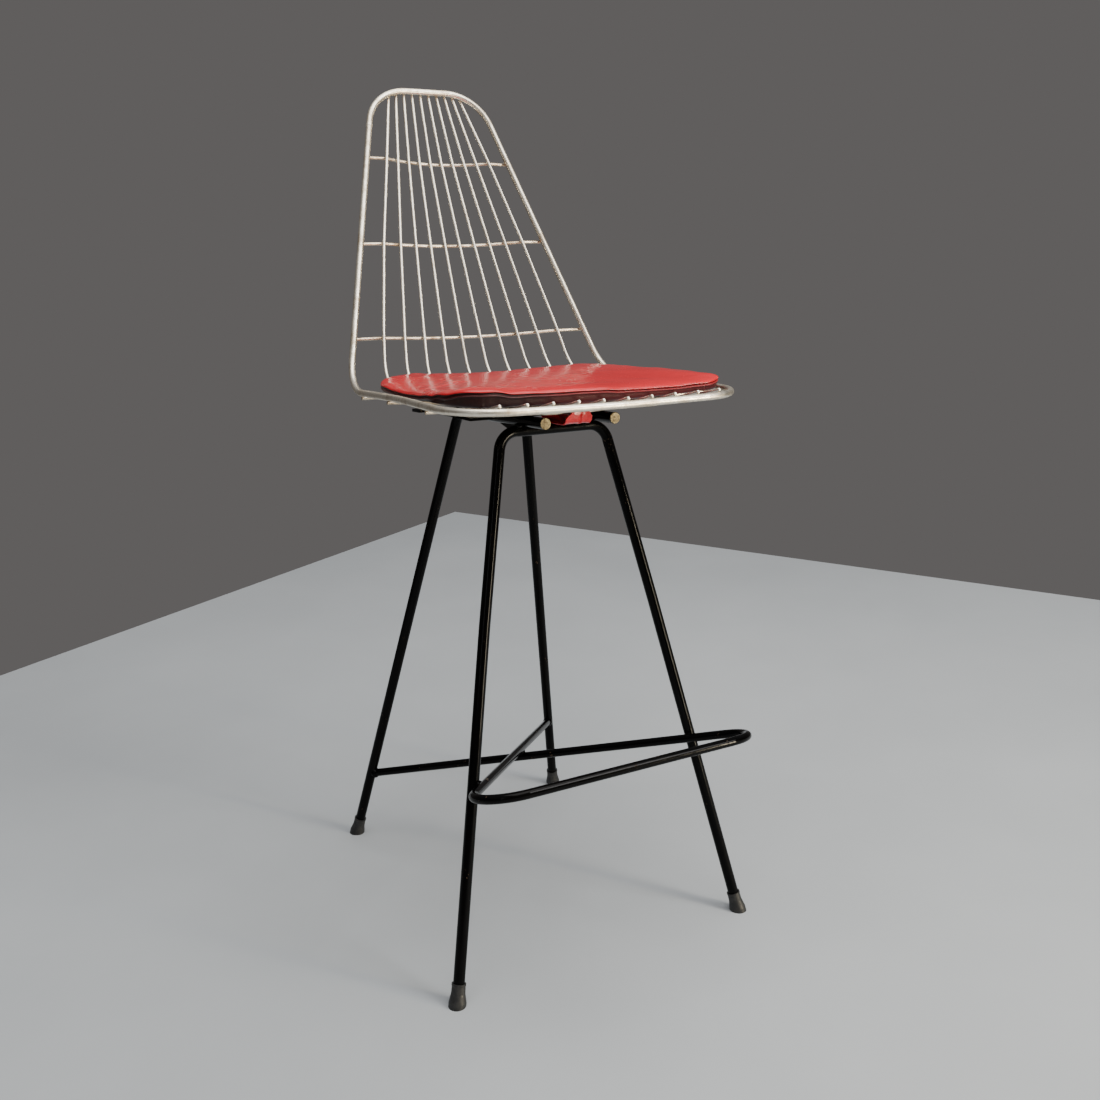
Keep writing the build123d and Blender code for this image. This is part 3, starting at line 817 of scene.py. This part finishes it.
def cushion_strap():
    """The soft band: its edges curl a little, and one fold runs down it."""
    line = strap_path()
    middle_x = (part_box("cushion_strap")[0][0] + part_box("cushion_strap")[1][0]) / 2
    mesh = bmesh.new()
    rows = []
    for number, point in enumerate(line):
        before, after = line[max(number - 1, 0)], line[min(number + 1, len(line) - 1)]
        along = (after - before).normalized()
        outward = Vector((0, along.z, -along.y))
        free = smooth_step((STRAP_FREE_BELOW - point.z) / STRAP_WIDENING)
        width = STRAP_WIDTH + (STRAP_FREE_WIDTH - STRAP_WIDTH) * free
        row = []
        for step in range(STRAP_STEPS_ACROSS + 1):
            side = 2 * step / STRAP_STEPS_ACROSS - 1
            curl = -STRAP_CURL * abs(side) ** 3
            fold_place = (side - STRAP_FOLD_AT) / STRAP_FOLD_WIDTH
            fold = -STRAP_FOLD * free * math.exp(-(fold_place**2))
            wave = STRAP_WAVE * free * noise.noise(Vector((side * 2.2, number * 0.09, 4.2)))
            x = middle_x + STRAP_LEAN * free + side * width / 2
            flat = Vector((x, point.y, point.z))
            row.append(mesh.verts.new(flat - outward * (curl + fold + wave)))
        rows.append(row)
    for upper, lower in zip(rows, rows[1:]):
        for step in range(STRAP_STEPS_ACROSS):
            mesh.faces.new((upper[step], upper[step + 1], lower[step + 1], lower[step]))
    strap = new_mesh_object("cushion_strap_band", mesh, (VINYL,))
    solid = strap.modifiers.new("solid", "SOLIDIFY")
    solid.thickness = STRAP_THICKNESS
    solid.offset = 0
    smooth = strap.modifiers.new("smooth", "SUBSURF")
    smooth.levels = smooth.render_levels = 1
    apply_modifiers(strap)
    return strap


strap = cushion_strap()
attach(strap, "root")
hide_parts("cushion_strap")


# --- Floor, light and background ----------------------------------------------------------------

def make_floor():
    """A plain pale floor, reaching back to where a room's corner would be."""
    finish = Finish("pale_floor", (0.45, 0.475, 0.495), 0.6)
    clouds = finish.spread(finish.noise(1.6, 5, 0.6), 0.3, 0.7)
    finish.colour(finish.mix(clouds, (0.43, 0.455, 0.475), (0.47, 0.495, 0.515)))
    finish.roughness(finish.spread(finish.noise(3, 5, 0.6), 0.3, 0.7, 0.5, 0.7))
    finish.bump(finish.noise(90, 4, 0.6), 0.2 * MM, 0.3)
    bpy.ops.mesh.primitive_plane_add(size=FLOOR_SIDE, location=(0, 0, 0))
    floor = bpy.context.object
    floor.name = "floor"
    turn = math.radians(FLOOR_TURN)
    reach = Vector((math.cos(turn) - math.sin(turn), math.sin(turn) + math.cos(turn)))
    middle = Vector(FLOOR_FAR_CORNER) - reach * FLOOR_SIDE / 2
    floor.location = (middle.x, middle.y, 0)
    floor.rotation_euler = (0, 0, turn)
    floor.data.materials.append(finish.material)


def make_world():
    """A plain grey room, paler overhead."""
    world = bpy.data.worlds.new("world")
    bpy.context.scene.world = world
    world.use_nodes = True
    tree = world.node_tree
    place = tree.nodes.new("ShaderNodeTexCoord").outputs["Generated"]
    split = tree.nodes.new("ShaderNodeSeparateXYZ")
    tree.links.new(place, split.inputs["Vector"])
    ramp = tree.nodes.new("ShaderNodeValToRGB")
    ramp.color_ramp.elements[0].position = 0.35
    ramp.color_ramp.elements[0].color = (0.122, 0.116, 0.114, 1)
    ramp.color_ramp.elements[1].position = 0.95
    ramp.color_ramp.elements[1].color = (0.50, 0.51, 0.53, 1)
    tree.links.new(split.outputs["Z"], ramp.inputs["Fac"])
    tree.links.new(ramp.outputs["Color"], tree.nodes["Background"].inputs["Color"])
    tree.nodes["Background"].inputs["Strength"].default_value = 1.0


def area_light(name, location, target, size, power, colour=(1, 1, 1)):
    """A soft rectangular light, aimed at a point."""
    data = bpy.data.lights.new(name, "AREA")
    data.shape = "RECTANGLE"
    data.size, data.size_y = size
    data.energy = power
    data.color = colour
    light = bpy.data.objects.new(name, data)
    light.location = location
    aim = Vector(target) - Vector(location)
    light.rotation_euler = aim.to_track_quat("-Z", "Y").to_euler()
    bpy.context.collection.objects.link(light)


def make_lights():
    """A soft window at the front right over a low warm doorway, a cooler window at the left
    and one overhead."""
    area_light("window", (2.1, -3.0, 3.2), (0, 0, 0.7), (1.3, 1.6), 105, (1.0, 0.98, 0.95))
    area_light("doorway", (1.75, -2.5, 0.52), (0, 0, 0.5), (0.22, 1.0), 62, (1.0, 0.87, 0.64))
    area_light("left_window", (-2.9, -2.2, 1.7), (0, 0, 0.7), (0.25, 1.4), 5, (0.94, 0.97, 1.0))
    area_light("overhead", (0.2, -0.7, 3.4), (0, 0, 0), (2.8, 2.8), 100, (1.0, 0.98, 0.95))


make_floor()
make_world()
make_lights()
